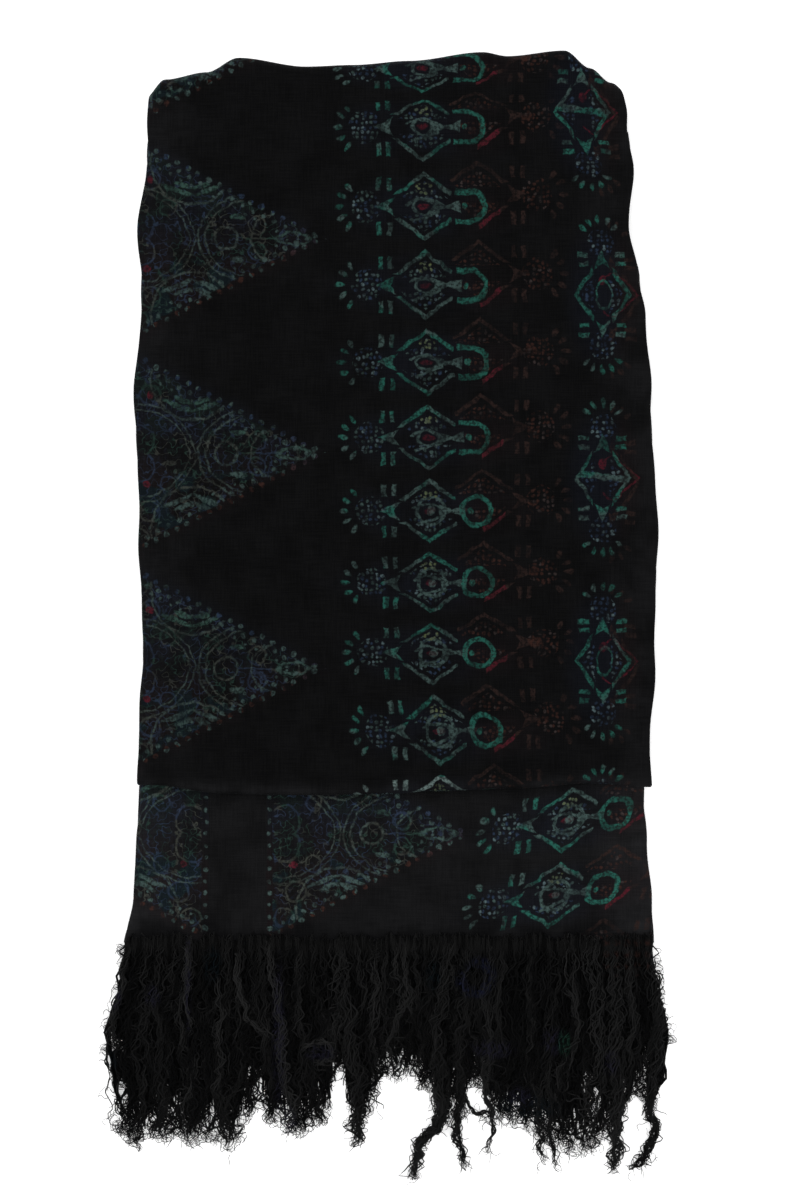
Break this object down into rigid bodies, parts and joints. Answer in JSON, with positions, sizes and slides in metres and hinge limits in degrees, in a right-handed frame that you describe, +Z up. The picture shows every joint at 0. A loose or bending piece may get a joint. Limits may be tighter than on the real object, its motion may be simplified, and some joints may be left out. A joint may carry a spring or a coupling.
{
  "type": "batik stole, folded and laid flat",
  "caption": "Long dark batik stole with a loose yarn fringe on each short end, folded lengthwise and doubled, with its folded end turned over to the front, to wear or display.",
  "frame": {"origin": "on the surface that the stole lies on, under the middle of its outline", "axes": "+Y towards the top fold, away from the fringes; +X to the right as seen from above; +Z up from the surface"},
  "size_m": [0.352, 0.691, 0.0139],
  "materials": {
    "batik_cloth": "soft matt woven cloth, near black, with wax-resist motifs in muted teal, brown red and navy",
    "fringe_yarn": "loose black yarn with a faint sheen, frayed at its ends"
  },
  "bodies": {
    "root": {"front_flap": "batik_cloth", "hem_stretch": "batik_cloth", "back_stretch": "batik_cloth", "inner_layers": "batik_cloth", "front_fringe": "fringe_yarn", "back_fringe": "fringe_yarn"}
  },
  "joints": []
}
